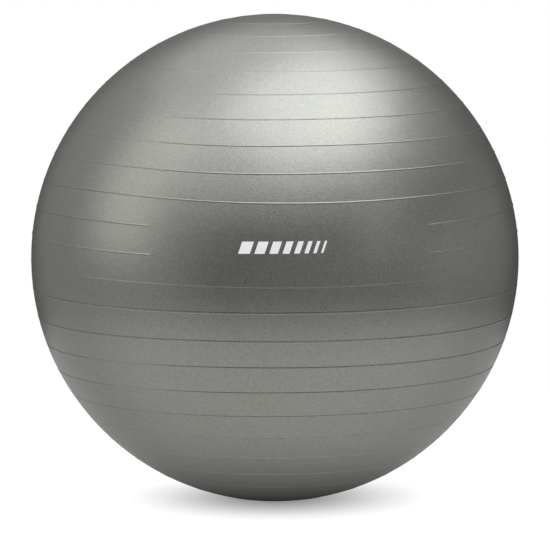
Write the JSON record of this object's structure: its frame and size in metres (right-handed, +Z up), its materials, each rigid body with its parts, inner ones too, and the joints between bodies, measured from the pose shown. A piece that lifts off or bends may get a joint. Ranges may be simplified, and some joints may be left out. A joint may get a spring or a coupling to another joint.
{
  "type": "exercise ball",
  "caption": "Large inflated soft-PVC ball with fine raised latitude ribs, a smooth front panel and a push-in air valve plug.",
  "frame": {"origin": "on the floor, at the centre of the flat that the ball's weight presses on it, under the ball's centre", "axes": "+Z up through the two moulded poles; -Y to the middle of the smooth front panel; the valve is on the +Y side"},
  "size_m": [0.649, 0.6504, 0.6481],
  "materials": {
    "shell_pvc": "semi-gloss pearl-grey soft PVC with a metallic sheen and a fine moulded grain",
    "seat_pvc": "satin grey PVC",
    "plug_pvc": "satin white PVC"
  },
  "bodies": {
    "ball": {"ball_shell": "shell_pvc", "valve_seat": "seat_pvc"},
    "plug": {"valve_plug": "plug_pvc"}
  },
  "joints": [
    {"name": "plug_pull", "type": "slide", "parent": "ball", "child": "plug", "axis": [0, 0.9866, 0.1633], "range_m": [0, 0.055]}
  ]
}
